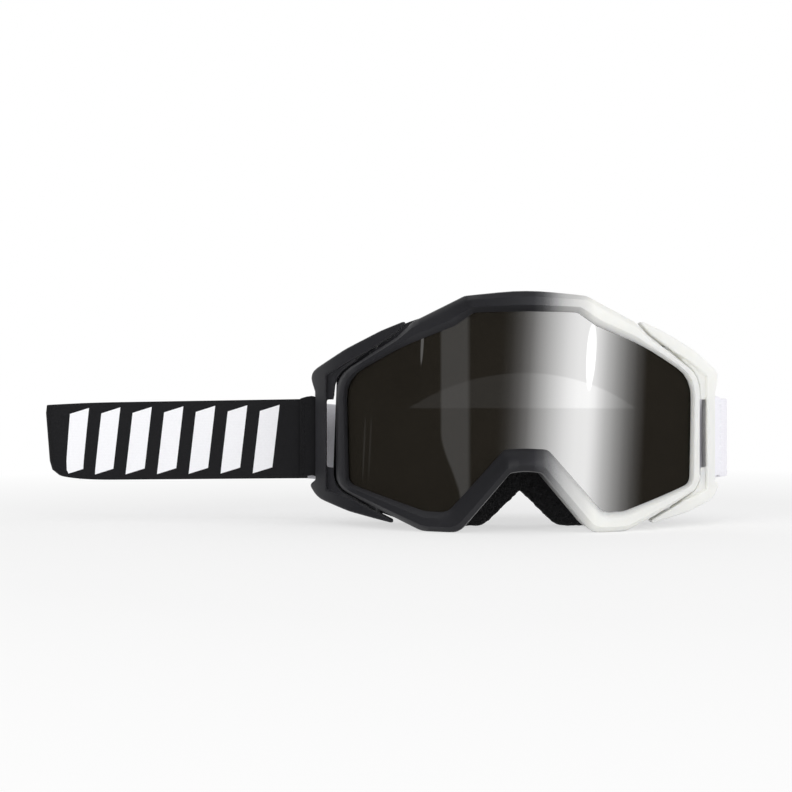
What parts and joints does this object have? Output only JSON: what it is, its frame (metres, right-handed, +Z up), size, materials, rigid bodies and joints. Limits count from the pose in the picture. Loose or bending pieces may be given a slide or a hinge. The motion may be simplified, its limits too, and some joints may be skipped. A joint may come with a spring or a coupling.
{
  "type": "motorcycle goggles",
  "caption": "Off-road motorcycle goggles: moulded frame fading from black to white, dark mirrored cylindrical lens, swinging outriggers, layered face foam and a wide elastic strap.",
  "frame": {"origin": "on the table plane, on the symmetry plane of the goggles, below the foremost line of the lens", "axes": "+X to the viewer's right, +Y from the front towards the wearer's face, +Z up"},
  "size_m": [0.3369, 0.1043, 0.1053],
  "materials": {
    "frame_plastic": "satin moulded plastic, sprayed with a fade from black to white",
    "black_plastic": "satin moulded",
    "white_plastic": "satin moulded",
    "lens": "polished, dark mirror coating",
    "steel": "drawn",
    "foam": "open-cell foam",
    "fleece": "brushed fleece",
    "black_elastic": "woven elastic",
    "white_elastic": "woven elastic",
    "silicone": "smooth"
  },
  "bodies": {
    "goggles": {"frame": "frame_plastic", "lens": "lens", "pivot_pins_left": "steel", "pivot_pins_right": "steel", "foam_base": "foam", "foam_mid": "foam", "foam_fleece": "fleece", "vent_foam_top": "foam", "vent_foam_left": "foam", "vent_foam_right": "foam", "strap_black": "black_elastic", "strap_white": "white_elastic", "strap_grip": "silicone"},
    "left_outrigger": {"outrigger_left": "black_plastic", "strap_loop_left": "black_elastic"},
    "right_outrigger": {"outrigger_right": "white_plastic", "strap_loop_right": "white_elastic"},
    "slider": {"strap_slider": "white_plastic"}
  },
  "joints": [
    {"name": "left_outrigger_swing", "type": "hinge", "parent": "goggles", "child": "left_outrigger", "pos_m": [-0.066, 0.03211, 0.045], "axis": [0, 0, 1], "range_deg": [0, 8]},
    {"name": "right_outrigger_swing", "type": "hinge", "parent": "goggles", "child": "right_outrigger", "pos_m": [0.066, 0.03211, 0.045], "axis": [0, 0, -1], "range_deg": [0, 8]},
    {"name": "strap_slider_slide", "type": "slide", "parent": "goggles", "child": "slider", "axis": [1, 0, 0], "range_m": [-0.02, 0.02]}
  ]
}
